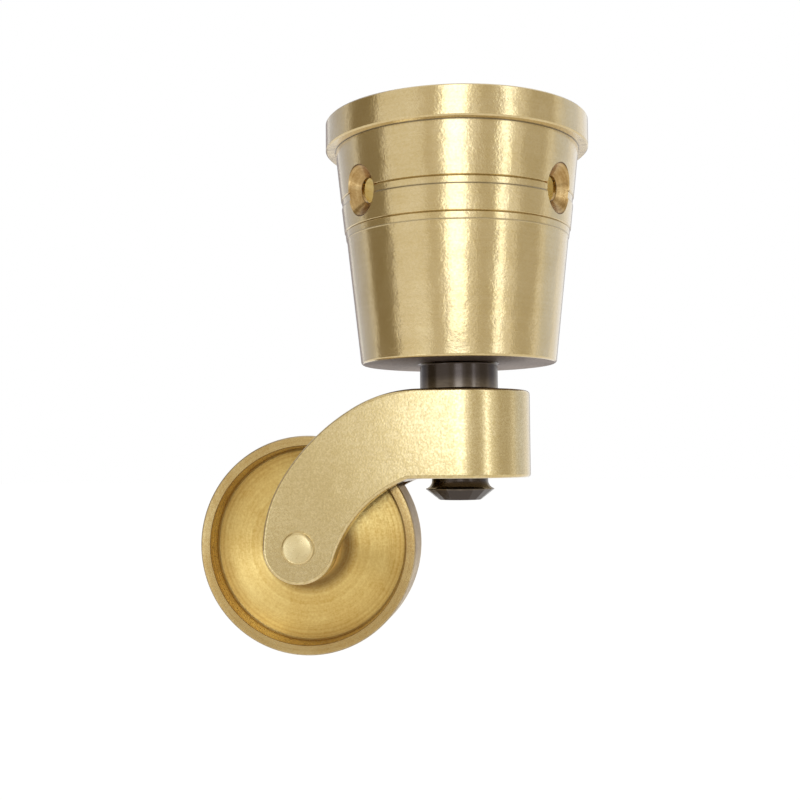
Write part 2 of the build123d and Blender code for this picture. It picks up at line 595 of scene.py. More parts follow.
def rounded(corners: Sequence[Corner], closed: bool, steps: int = 6) -> list[Point]:
    """Joins corners into a line of points, with an arc in place of each rounded corner.

    Args:
        corners: The corners in order.
        closed: Whether the last corner joins the first.
        steps: Segments in each arc.

    Returns:
        The points, in mm.
    """
    points: list[Point] = []
    count = len(corners)
    for at, corner in enumerate(corners):
        here = Vector((corner.across, corner.along))
        ends = not closed and at in (0, count - 1)
        if corner.radius <= 0 or ends:
            points.append((here.x, here.y))
            continue
        before, after = corners[at - 1], corners[(at + 1) % count]
        back = (Vector((before.across, before.along)) - here).normalized()
        ahead = (Vector((after.across, after.along)) - here).normalized()
        half = back.angle(ahead) / 2
        reach = corner.radius / math.tan(half)
        centre = here + (back + ahead).normalized() * (corner.radius / math.sin(half))
        start, end = here + back * reach - centre, here + ahead * reach - centre
        turn = start.angle_signed(end)
        for step in range(steps + 1):
            point = start.copy()
            point.rotate(Matrix.Rotation(-turn * step / steps, 2))
            points.append((centre.x + point.x, centre.y + point.y))
    return points


def dome(radius: float, rise: float, top: float, steps: int) -> list[Point]:
    """Draws a low dome's section, from its top out to its edge.

    Args:
        radius: Its radius at the edge, in mm.
        rise: Its height, in mm.
        top: How high its top lies, in mm.
        steps: Segments from the top to the edge.

    Returns:
        The points, in mm.
    """
    sphere_r = (radius**2 + rise**2) / (2 * rise)
    half = math.asin(radius / sphere_r)
    angles = [half * step / steps for step in range(steps + 1)]
    return [(sphere_r * math.sin(a), top - sphere_r * (1 - math.cos(a))) for a in angles]


def finished(name: str, shape: bmesh.types.BMesh, sharp_turn: float = SHARP_TURN) -> bpy.types.Object:
    """Turns a bmesh in mm into a smooth-shaded object in metres, sharp where it turns sharply.

    Args:
        name: The object's name.
        shape: The geometry, which is freed.
        sharp_turn: Edges that turn by more than this angle stay sharp.

    Returns:
        The object, linked to the scene.
    """
    bmesh.ops.scale(shape, vec=(MM, MM, MM), verts=shape.verts)
    bmesh.ops.recalc_face_normals(shape, faces=shape.faces)
    mesh = bpy.data.meshes.new(name)
    shape.to_mesh(mesh)
    shape.free()
    mesh.shade_smooth()
    mesh.set_sharp_from_angle(angle=sharp_turn)
    made = bpy.data.objects.new(name, mesh)
    bpy.context.scene.collection.objects.link(made)
    return made


def turned(
    name: str,
    section: Sequence[Point],
    closed: bool,
    steps: int,
    placed: Matrix | None = None,
    radius_at: Callable[[float, float, float], float] | None = None,
) -> bpy.types.Object:
    """Turns a section about a line into a solid.

    Args:
        name: The object's name.
        section: Points as distance from the line and height along it, in mm.
        closed: Whether the section is a ring clear of the line, and not open towards it.
        steps: Segments round the line.
        placed: Where the line goes, in metres; Z at the origin if it isn't given.
        radius_at: Changes a distance from the line, given it, the height and the angle.

    Returns:
        The object.
    """
    shape = bmesh.new()
    rings = []
    for across, along in section:
        if across < TINY:
            rings.append([shape.verts.new((0.0, 0.0, along))] * steps)
            continue
        ring = []
        for step in range(steps):
            angle = math.tau * step / steps
            radius = radius_at(across, along, angle) if radius_at else across
            ring.append(shape.verts.new((radius * math.cos(angle), radius * math.sin(angle), along)))
        rings.append(ring)
    pairs = list(zip(rings, rings[1:]))
    if closed:
        pairs.append((rings[-1], rings[0]))
    for lower, upper in pairs:
        for step in range(steps):
            ahead = (step + 1) % steps
            corners = [lower[step], lower[ahead], upper[ahead], upper[step]]
            shape.faces.new(list(dict.fromkeys(corners)))
    made = finished(name, shape)
    if placed:
        made.data.transform(placed)
    return made


def cut(piece: bpy.types.Object, tools: Iterable[bpy.types.Object]) -> None:
    """Takes the tools' volumes out of a piece and deletes the tools.

    Args:
        piece: The piece that is cut.
        tools: Closed solids.
    """
    for tool in tools:
        step = piece.modifiers.new("cut", "BOOLEAN")
        step.operation = "DIFFERENCE"
        step.solver = "EXACT"
        step.object = tool
        apply_modifiers(piece)
        mesh = tool.data
        bpy.data.objects.remove(tool)
        bpy.data.meshes.remove(mesh)


def apply_modifiers(piece: bpy.types.Object) -> None:
    """Replaces a piece's mesh by what its modifiers make of it.

    Args:
        piece: The piece, which is left without modifiers.
    """
    shown = piece.evaluated_get(bpy.context.evaluated_depsgraph_get())
    mesh = bpy.data.meshes.new_from_object(shown)
    old = piece.data
    piece.modifiers.clear()
    piece.data = mesh
    bpy.data.meshes.remove(old)


def even_normals(piece: bpy.types.Object) -> None:
    """Lets large faces rule the shading, so that flats stay flat beside small roundings.

    Args:
        piece: The piece, with its sharp edges marked.
    """
    step = piece.modifiers.new("even_normals", "WEIGHTED_NORMAL")
    step.mode = "FACE_AREA"
    step.weight = 100
    step.keep_sharp = True
    apply_modifiers(piece)


def dress(
    piece: bpy.types.Object,
    finishes: Sequence[Brass | BlackenedSteel],
    body: Body,
    node: str,
    choose: Callable[[Vector, Vector], int] | None = None,
) -> None:
    """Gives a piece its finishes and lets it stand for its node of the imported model.

    Args:
        piece: The piece.
        finishes: Its finishes, the main one first.
        body: The body it rides on.
        node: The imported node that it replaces.
        choose: The finish's number for a face, given its middle in mm and its normal.
    """
    mesh = piece.data
    mesh.materials.clear()
    for finish in finishes:
        mesh.materials.append(finish.material())
    if choose:
        numbers = [choose(face.center / MM, face.normal) for face in mesh.polygons]
        mesh.polygons.foreach_set("material_index", numbers)
    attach(piece, body.value)
    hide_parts(node)
    log.info("%s: %d faces, %d finishes", piece.name, len(mesh.polygons), len(finishes))


@dataclass(frozen=True)
class ScrewHole:
    """One countersunk hole, square to the cup's tapered wall."""

    place: Vector
    outward: Vector
    hole_r: float
    sink_r: float
    half_angle: float
    tool_clear: float = 1.5
    foot_round: float = 0.1
    half_reach: float = 2.5
    slack: float = 0.05
    steps: int = 96

    @property
    def sink_depth(self) -> float:
        """Depth at which the cone meets the hole, in mm."""
        return (self.sink_r - self.hole_r) / math.tan(self.half_angle)

    def tool(self, reach: float) -> bpy.types.Object:
        """Makes the solid that cuts the hole.

        Args:
            reach: How far it goes in past the wall's face, in mm.

        Returns:
            The tool.
        """
        clear = self.tool_clear
        section = rounded(
            [
                Corner(0.0, clear),
                Corner(self.sink_r + clear * math.tan(self.half_angle), clear),
                Corner(self.hole_r, -self.sink_depth, self.foot_round),
                Corner(self.hole_r, -reach),
                Corner(0.0, -reach),
            ],
            closed=False,
        )
        turn = self.outward.to_track_quat("Z", "Y").to_matrix().to_4x4()
        return turned("drill", section, False, self.steps, Matrix.Translation(self.place * MM) @ turn)

    def holds(self, middle: Vector, normal: Vector) -> bool:
        """Says whether a face of the cup is in this hole.

        Args:
            middle: The face's middle, in mm.
            normal: Its normal.

        Returns:
            True on the cone and in the hole.
        """
        away = middle - self.place
        height = away.dot(self.outward)
        out = (away - self.outward * height).length
        near = out < self.sink_r + self.slack and abs(height) < self.half_reach
        return near and abs(normal.dot(self.outward)) < FACING

    def finish(self, name: str) -> Brass:
        """Bright drilled brass with chatter rings, and painted shade on its outer edge and at the cone's
        foot.

        Args:
            name: The material's name.

        Returns:
            The finish.
        """
        return Brass(
            name, "#c8aa76", "#a07e4c", 0.24, 0.5, Line(tuple(self.place), tuple(self.outward)),
            patches=0.5, streaks=0.5, mark_mm=0.35, mark_depth_mm=0.005, wave_mm=1.5, wave_depth_mm=0.03,
            painted_shade_colour="#4a2c10",
            painted_shade=(
                EdgeRing(self.sink_r, 0.0, 0.36, 1.0),
                EdgeRing(self.hole_r, -self.sink_depth, 0.16, 0.5),
            ),
        )


@dataclass
class Cup:
    """The tapered socket with its rim band, two turned grooves and three countersunk holes."""

    body_r: float = 18.1
    taper: float = math.radians(6.2)
    band_height: float = 4.3
    band_step: float = 1.43
    band_edge: float = 0.2
    edge_round: float = 0.06
    foot_round: float = 0.4
    wall: float = 2.0
    floor: float = 4.0
    floor_corner: float = 0.5
    mouth_edge: float = 0.4
    mouth_round: float = 0.1
    groove_drops: tuple[float, float] = (11.6, 16.35)
    groove_width: float = 1.15
    groove_depth: float = 0.12
    nick: float = 0.14
    groove_round: float = 0.03
    body_step: float = 0.23
    bore_r: float = 4.0
    hole_r: float = 1.75
    sink_r: float = 3.65
    sink_half_angle: float = math.radians(50)
    hole_drop: float = 12.0
    hole_bearings: tuple[float, ...] = (-49.0, 62.0, 186.5)
    slack: float = 0.01
    socket_slack: float = 0.1
    steps: int = 720

    def radius(self, z: float) -> float:
        """The tapered body line at a height, in mm."""
        return self.body_r + (z + self.band_height) * math.tan(self.taper)

    def section(self) -> list[Point]:
        """Draws the wall's section, with its grooves.

        Returns:
            The closed section, in mm.
        """
        socket_floor = CUP_BOTTOM + self.floor
        band_r, edge = self.body_r + self.band_step, self.band_edge
        mouth_r = self.radius(0) - self.wall
        corners = [
            Corner(self.bore_r, CUP_BOTTOM),
            Corner(self.bore_r, socket_floor),
            Corner(self.radius(socket_floor) - self.wall, socket_floor, self.floor_corner),
            Corner(self.radius(-self.mouth_edge) - self.wall, -self.mouth_edge, self.mouth_round),
            Corner(mouth_r + self.mouth_edge, 0.0, self.mouth_round),
            Corner(band_r - edge, 0.0, self.edge_round),
            Corner(band_r, -edge, self.edge_round),
            Corner(band_r, edge - self.band_height, self.edge_round),
            Corner(band_r - edge, -self.band_height, self.edge_round),
            Corner(self.body_r, -self.band_height),
        ]
        for drop, step in zip(self.groove_drops, (0.0, self.body_step)):
            top, bottom = -drop, -drop - self.groove_width
            floor_r = self.radius(top - self.nick) - self.groove_depth
            corners += [
                Corner(self.radius(top), top, self.groove_round),
                Corner(floor_r - self.nick, top - self.nick),
                Corner(floor_r, top - 2 * self.nick, self.groove_round),
                Corner(self.radius(bottom) - self.groove_depth, bottom, self.groove_round),
                Corner(self.radius(bottom) - step, bottom - self.nick, self.groove_round),
            ]
        corners.append(
            Corner(self.radius(CUP_BOTTOM) - self.body_step, CUP_BOTTOM, self.foot_round)
        )
        return rounded(corners, closed=True)

    def holes(self) -> list[ScrewHole]:
        """Places the screw holes.

        Returns:
            The holes, in the bearings' order.
        """
        holes = []
        for bearing in self.hole_bearings:
            angle = math.radians(bearing)
            away = Vector((math.sin(angle), -math.cos(angle), 0))
            outward = away * math.cos(self.taper) - Vector((0, 0, math.sin(self.taper)))
            place = away * self.radius(-self.hole_drop) - Vector((0, 0, self.hole_drop))
            holes.append(ScrewHole(place, outward, self.hole_r, self.sink_r, self.sink_half_angle))
        return holes

    def finish(self) -> Brass:
        """Fine-turned and satin-brushed: pale, soft streaks with ragged edges, shade in the grooves.

        Returns:
            The finish.
        """
        # Painted shade under the rim band and along both lines of each groove
        shade = [EdgeRing(self.body_r, -self.band_height, 0.22, 0.8)]
        for drop in self.groove_drops:
            floor_r = self.radius(-drop - self.nick) - self.groove_depth
            foot_r = self.radius(-drop - self.groove_width) - self.groove_depth
            shade.append(EdgeRing(floor_r - self.nick, -drop - self.nick, 0.2, 0.3))
            lower_line = -drop - self.groove_width - self.nick / 2
            shade.append(EdgeRing(foot_r + self.nick / 2, lower_line, 0.24, 0.8))
        return Brass(
            "satin_turned_brass", "#d2bc8b", "#c3aa70", 0.19, 0.4, flecks=0.5, grain_mm=0.36,
            grain_depth_mm=0.02, mark_mm=0.35, mark_depth_mm=0.0010, wave_mm=4.0, wave_depth_mm=0.1,
            painted_shade=tuple(shade), lacquer=1.0,
        )

    def build(self) -> None:
        """Builds and dresses the cup."""
        holes = self.holes()
        cup = turned("brass_cup", self.section(), True, self.steps)
        cut(cup, [hole.tool(2 * self.wall) for hole in holes])
        cup.data.set_sharp_from_angle(angle=SHARP_TURN)
        even_normals(cup)

        def choose(middle: Vector, normal: Vector) -> int:
            """Picks the outside, the underside, the socket or one of the holes.

            Args:
                middle: The face's middle, in mm.
                normal: Its normal.

            Returns:
                The finish's number.
            """
            for number, hole in enumerate(holes):
                if hole.holds(middle, normal):
                    return CupFace.FIRST_HOLE + number
            if middle.z < CUP_BOTTOM + self.slack:
                return CupFace.UNDERSIDE
            inner_r = self.radius(middle.z) - self.wall + self.socket_slack
            inside = math.hypot(middle.x, middle.y) < inner_r and middle.z < -self.slack
            return CupFace.SOCKET if inside else CupFace.OUTSIDE

        drilled = [hole.finish(f"drilled_brass_{number}") for number, hole in enumerate(holes)]
        finishes = [self.finish(), UNDERSIDE_SHADE_BRASS, BORED_BRASS, *drilled]
        dress(cup, finishes, Body.CUP, "cup", choose)


@dataclass
class Spindle:
    """The steel pin: a spread head in the socket, a shoulder, a journal and a hammered lower end."""

    cup_floor: float = 4.0
    shoulder_gap: float = 0.25
    head_r: float = 6.0
    head_rise: float = 1.5
    shank_r: float = 4.0
    neck_r: float = 5.75
    neck_fillet: float = 0.35
    neck_edge: float = 0.15
    journal_r: float = 4.15
    ridge_r: float = 5.05
    ridge_drop: float = 1.6
    ridge_edge: float = 0.1
    land: float = 0.4
    tip_r: float = 3.15
    tip_height: float = 1.65
    tip_edge: float = 0.12
    tip_edge_height: float = 0.05
    wear_in: float = 0.05
    head_steps: int = 12
    flare_steps: int = 6
    bell_steps: int = 10
    facets: int = 16
    facet_turn: float = math.radians(4)
    steps: int = 384

    @property
    def ridge(self) -> float:
        """Height of the lower end's widest ring, in mm."""
        return BOSS_BOTTOM - self.ridge_drop

    def upper_section(self) -> list[Point]:
        """Draws the section from the spread head down to the ridge.

        Returns:
            The open section, in mm.
        """
        socket_floor = CUP_BOTTOM + self.cup_floor
        head = dome(self.head_r, self.head_rise, socket_floor + self.head_rise, self.head_steps)
        quarter = [math.radians(90 * s / self.flare_steps) for s in range(self.flare_steps + 1)]
        flare = [
            (
                self.neck_r + self.neck_fillet * (1 - math.sin(angle)),
                CUP_BOTTOM - self.neck_fillet * (1 - math.cos(angle)),
            )
            for angle in quarter
        ]
        neck_bottom = BOSS_TOP + self.shoulder_gap
        middle = [
            (self.shank_r, socket_floor),
            (self.shank_r, CUP_BOTTOM),
            *flare,
            (self.neck_r, neck_bottom + self.neck_edge),
            (self.neck_r - self.neck_edge, neck_bottom),
            (self.journal_r, neck_bottom),
            (self.journal_r, BOSS_BOTTOM - self.land),
        ]
        spread, fall = self.ridge_r - self.journal_r, self.ridge_drop - self.land
        bell_r = (spread**2 + fall**2) / (2 * spread)
        turn = math.asin(fall / bell_r)
        bell = [
            (
                self.journal_r + bell_r * (1 - math.cos(angle)),
                BOSS_BOTTOM - self.land - bell_r * math.sin(angle),
            )
            for angle in (turn * s / self.bell_steps for s in range(1, self.bell_steps + 1))
        ]
        return head + middle + bell

    def flattened(self, across: float, along: float, angle: float) -> float:
        """Draws the lower end's circle in to a many-sided figure, as the hammer leaves it.

        Args:
            across: Distance from the axis, in mm.
            along: Height, in mm.
            angle: Angle round the axis.

        Returns:
            The changed distance, in mm.
        """
        share = min(1.0, max(0.0, (BOSS_BOTTOM - along) / self.ridge_drop)) ** 3
        if along < self.ridge + TINY:
            share = 1.0
        side = math.tau / self.facets
        off = (angle - self.facet_turn) % side - side / 2
        flat = across * math.cos(side / 2) / math.cos(off)
        return across + (flat - across) * share

    def build(self) -> None:
        """Builds and dresses the spindle."""
        tip = self.ridge - self.tip_height
        lower = [
            (self.ridge_r, self.ridge - self.ridge_edge),
            (self.tip_r, tip + self.tip_edge_height),
            (self.tip_r - self.tip_edge, tip),
            (0.0, tip),
        ]
        spindle = turned(
            "steel_spindle", self.upper_section() + lower, False, self.steps, radius_at=self.flattened
        )

        # The hammered facets under the ridge stay flat
        faces = spindle.data.polygons
        below = self.ridge - self.ridge_edge / 5
        faces.foreach_set("use_smooth", [face.center.z / MM > below for face in faces])
        even_normals(spindle)
        steel = BlackenedSteel(
            worn_edges=(
                EdgeRing(self.ridge_r - self.wear_in, self.ridge - self.wear_in, 0.26, 1.2),
                EdgeRing(self.neck_r, BOSS_TOP + self.shoulder_gap, 2.2, 1.1),
            )
        )
        dress(spindle, [steel], Body.CUP, "spindle")


class Pen:
    """Draws an outline of straight and round stretches, turning left where the turn is positive."""

    def __init__(self, start: Point, heading_degrees: float, step_degrees: float = 1.0) -> None:
        """Starts at a point, with a heading from the first coordinate towards the second.

        Args:
            start: The first point, in mm.
            heading_degrees: The way the pen points.
            step_degrees: The largest turn of one segment of an arc.
        """
        self.points: list[Point] = [start]
        self.heading = math.radians(heading_degrees)
        self.step = math.radians(step_degrees)

    def line(self, length: float, parts: int = 1) -> "Pen":
        """Draws straight ahead.

        Args:
            length: In mm.
            parts: How many equal parts the line is cut in.

        Returns:
            The pen.
        """
        for _ in range(parts):
            x, y = self.points[-1]
            part = length / parts
            self.points.append((x + part * math.cos(self.heading), y + part * math.sin(self.heading)))
        return self

    def arc(self, radius: float, turn: float) -> "Pen":
        """Draws an arc.

        Args:
            radius: In mm.
            turn: In radians, positive to the left.

        Returns:
            The pen.
        """
        x, y = self.points[-1]
        side = math.copysign(1.0, turn)
        cx, cy = x - side * radius * math.sin(self.heading), y + side * radius * math.cos(self.heading)
        count = max(2, math.ceil(abs(turn) / self.step))
        for step in range(1, count + 1):
            at = self.heading + turn * step / count
            self.points.append((cx + side * radius * math.sin(at), cy - side * radius * math.cos(at)))
        self.heading += turn
        return self


@dataclass
class Horn:
    """The cast fork: a round boss, an arm that sweeps down and two cheeks either side of the wheel."""

    boss_r: float = CHEEK_FACE
    cheek_end_r: float = 5.2
    edge: float = 0.5
    trail: float = -AXLE_CENTRE.x
    axle_z: float = AXLE_CENTRE.z
    crown_r: float = 18.9
    crown_turn: float = math.radians(30.7)
    back_r: float = 30.0
    back_turn: float = math.radians(27.8)
    under_r: float = 17.6
    crotch_x: float = 6.6
    slot_clearance: float = 1.1
    bridge_end: float = 15.0
    bore_r: float = 4.2
    axle_r: float = 1.66
    sharp_turn: float = math.radians(40)
    tool_reach: float = 20.0
    slack: float = 0.02
    round_steps: int = 6
    boss_steps: int = 240
    flat_parts: int = 4
    slot_steps: int = 120
    bore_steps: int = 128
    axle_steps: int = 96

    @property
    def slot_half(self) -> float:
        """Half the slot's width, in mm."""
        return self.boss_r - CHEEK

    @property
    def slot_r(self) -> float:
        """Radius of the slot's round end about the axle, in mm."""
        return WHEEL_R + self.slot_clearance

    def outline(self) -> list[Point]:
        """Draws the arm's side view, from the boss's top centre round to its bottom centre.

        Returns:
            The points, in mm, as X and Z.
        """
        down = math.radians(90)
        turned_so_far = self.crown_turn + self.back_turn
        fallen = self.crown_r * (1 - math.cos(self.crown_turn)) + self.back_r * (
            math.cos(self.crown_turn) - math.cos(turned_so_far)
        )
        heel_r = (BOSS_TOP - self.axle_z - fallen) / math.cos(turned_so_far)
        gone = (
            self.crown_r * math.sin(self.crown_turn)
            + self.back_r * (math.sin(turned_so_far) - math.sin(self.crown_turn))
            + heel_r * (1 - math.sin(turned_so_far))
        )
        top_line = self.trail + self.cheek_end_r - gone

        # Where the hollow underside meets the round end of the cheek
        crotch = Vector((-self.crotch_x + self.trail, BOSS_BOTTOM - self.axle_z))
        to_under = self.under_r + self.cheek_end_r
        cosine = (to_under**2 + crotch.length_squared - self.under_r**2) / (2 * to_under * crotch.length)
        toe = math.atan2(crotch.y, crotch.x) - math.acos(cosine)
        under_centre = Vector((math.cos(toe), math.sin(toe))) * to_under
        to_toe, to_crotch = -under_centre, crotch - under_centre
        pen = Pen((0.0, BOSS_TOP), 180).line(top_line, self.flat_parts)
        pen.arc(self.crown_r, self.crown_turn).arc(self.back_r, self.back_turn)
        pen.arc(heel_r, down - turned_so_far).arc(self.cheek_end_r, math.pi + toe)
        pen.arc(self.under_r, -abs(to_toe.angle(to_crotch)))
        pen.heading = 0.0
        pen.line(self.crotch_x, self.flat_parts)
        return pen.points

    def offsets(self) -> list[Point]:
        """Lists the lines that run along the arm, from its near side to its far side.

        Returns:
            How far each is drawn in from the outline, and its place across, in mm.
        """
        quarter = [math.radians(90 * step / self.round_steps) for step in range(self.round_steps + 1)]
        near_side = [
            (self.edge * (1 - math.sin(t)), -self.boss_r + self.edge * (1 - math.cos(t))) for t in quarter
        ]
        return near_side + [(0.0, 0.0)] + [(inset, -y) for inset, y in reversed(near_side)]

    def body(self) -> bpy.types.Object:
        """Builds the arm and boss as one closed skin, before the slot and the holes.

        Returns:
            The object.
        """
        shape = bmesh.new()
        points = [Vector(point) for point in self.outline()]
        offsets = self.offsets()
        grid = []
        for at, point in enumerate(points):
            back = (point - points[at - 1]).normalized() if at else None
            ahead = (points[at + 1] - point).normalized() if at + 1 < len(points) else None
            back, ahead = back or ahead, ahead or back
            outs = [Vector((way.y, -way.x)) for way in (back, ahead)]
            mitre = (outs[0] + outs[1]) / (1 + outs[0].dot(outs[1]))
            grid.append(
                [
                    shape.verts.new((point.x - inset * mitre.x, y, point.y - inset * mitre.y))
                    for inset, y in offsets
                ]
            )
        for here, there in zip(grid, grid[1:]):
            for a, b, c, d in zip(here, here[1:], there[1:], there):
                shape.faces.new((a, b, c, d))
        for column in (0, -1):
            shape.faces.new([row[column] for row in grid])

        # Half turn of the boss: each end's rounding swept about the swivel axis
        last = len(offsets) - 1
        columns = []
        for step in range(self.boss_steps + 1):
            if step in (0, self.boss_steps):
                near, far = range(self.round_steps + 1), range(last, last - self.round_steps - 1, -1)
                order = far if step else near
                columns.append(([grid[0][k] for k in order], [grid[-1][k] for k in order]))
                continue
            angle = math.radians(-90 + 180 * step / self.boss_steps)
            rings = []
            for z, sign in ((BOSS_TOP, -1), (BOSS_BOTTOM, 1)):
                rings.append(
                    [
                        shape.verts.new((-y * math.cos(angle), -y * math.sin(angle), z + sign * inset))
                        for inset, y in offsets[: self.round_steps + 1]
                    ]
                )
            columns.append(tuple(rings))
        for here, there in zip(columns, columns[1:]):
            for near_ring, far_ring in zip(here, there):
                for a, b, c, d in zip(near_ring, near_ring[1:], far_ring[1:], far_ring):
                    shape.faces.new((a, b, c, d))
            shape.faces.new((here[0][0], here[1][0], there[1][0], there[0][0]))
        middle = self.round_steps + 1
        for ring, end in ((0, grid[0]), (1, grid[-1])):
            shape.faces.new([column[ring][-1] for column in columns] + [end[middle]])
        return finished("cast_horn", shape, self.sharp_turn)

    def slot_tool(self) -> bpy.types.Object:
        """Makes the tool for the wheel's slot, open above and at the back.

        Returns:
            The tool.
        """
        half = self.slot_half
        start = math.acos((self.trail - self.bridge_end) / self.slot_r)
        count = self.slot_steps
        arc = [start - (start + math.pi) * step / count for step in range(count + 1)]
        above = BOSS_TOP + self.tool_reach / 4
        outline = [(-self.bridge_end, above)]
        outline += [
            (-self.trail + self.slot_r * math.cos(a), self.axle_z + self.slot_r * math.sin(a)) for a in arc
        ]
        outline.append((-self.trail - self.slot_r, above))
        shape = bmesh.new()
        sides = [[shape.verts.new((x, y, z)) for x, z in outline] for y in (-half, half)]
        for side in sides:
            shape.faces.new(side)
        for at in range(len(outline)):
            shape.faces.new((sides[0][at - 1], sides[0][at], sides[1][at], sides[1][at - 1]))
        return finished("slot_tool", shape)

    def drills(self) -> list[bpy.types.Object]:
        """Makes the tools for the spindle's bore and the axle's hole.

        Returns:
            The two tools.
        """
        reach = self.tool_reach
        bore = [(0.0, reach), (self.bore_r, reach), (self.bore_r, -reach), (0.0, -reach)]
        hole = [(0.0, reach), (self.axle_r, reach), (self.axle_r, -reach), (0.0, -reach)]
        boss_middle = Matrix.Translation((0, 0, (BOSS_TOP + BOSS_BOTTOM) / 2 * MM))
        return [
            turned("bore_tool", bore, False, self.bore_steps, boss_middle),
            turned("axle_tool", hole, False, self.axle_steps, AXLE.placed()),
        ]

    def in_the_slot(self, middle: Vector, normal: Vector) -> bool:
        """Says whether a face is a wall of the slot.

        Args:
            middle: The face's middle, in mm.
            normal: Its normal.

        Returns:
            True on the cheeks' inner faces and the slot's closed end.
        """
        if abs(middle.y) > self.slot_half + self.slack:
            return False
        from_axle = math.hypot(middle.x + self.trail, middle.z - self.axle_z)
        round_end = abs(from_axle - self.slot_r) < 1.5 * self.slack
        return abs(normal.y) > FACING or round_end or abs(middle.x + self.bridge_end) < self.slack

    def build(self) -> None:
        """Builds and dresses the horn."""
        horn = self.body()
        cut(horn, [self.slot_tool(), *self.drills()])
        horn.data.set_sharp_from_angle(angle=self.sharp_turn)
        even_normals(horn)
        dress(
            horn,
            [BLASTED_CAST_BRASS, AS_CAST_SHADED_BRASS],
            Body.HORN,
            "horn",
            lambda middle, normal: int(self.in_the_slot(middle, normal)),
        )


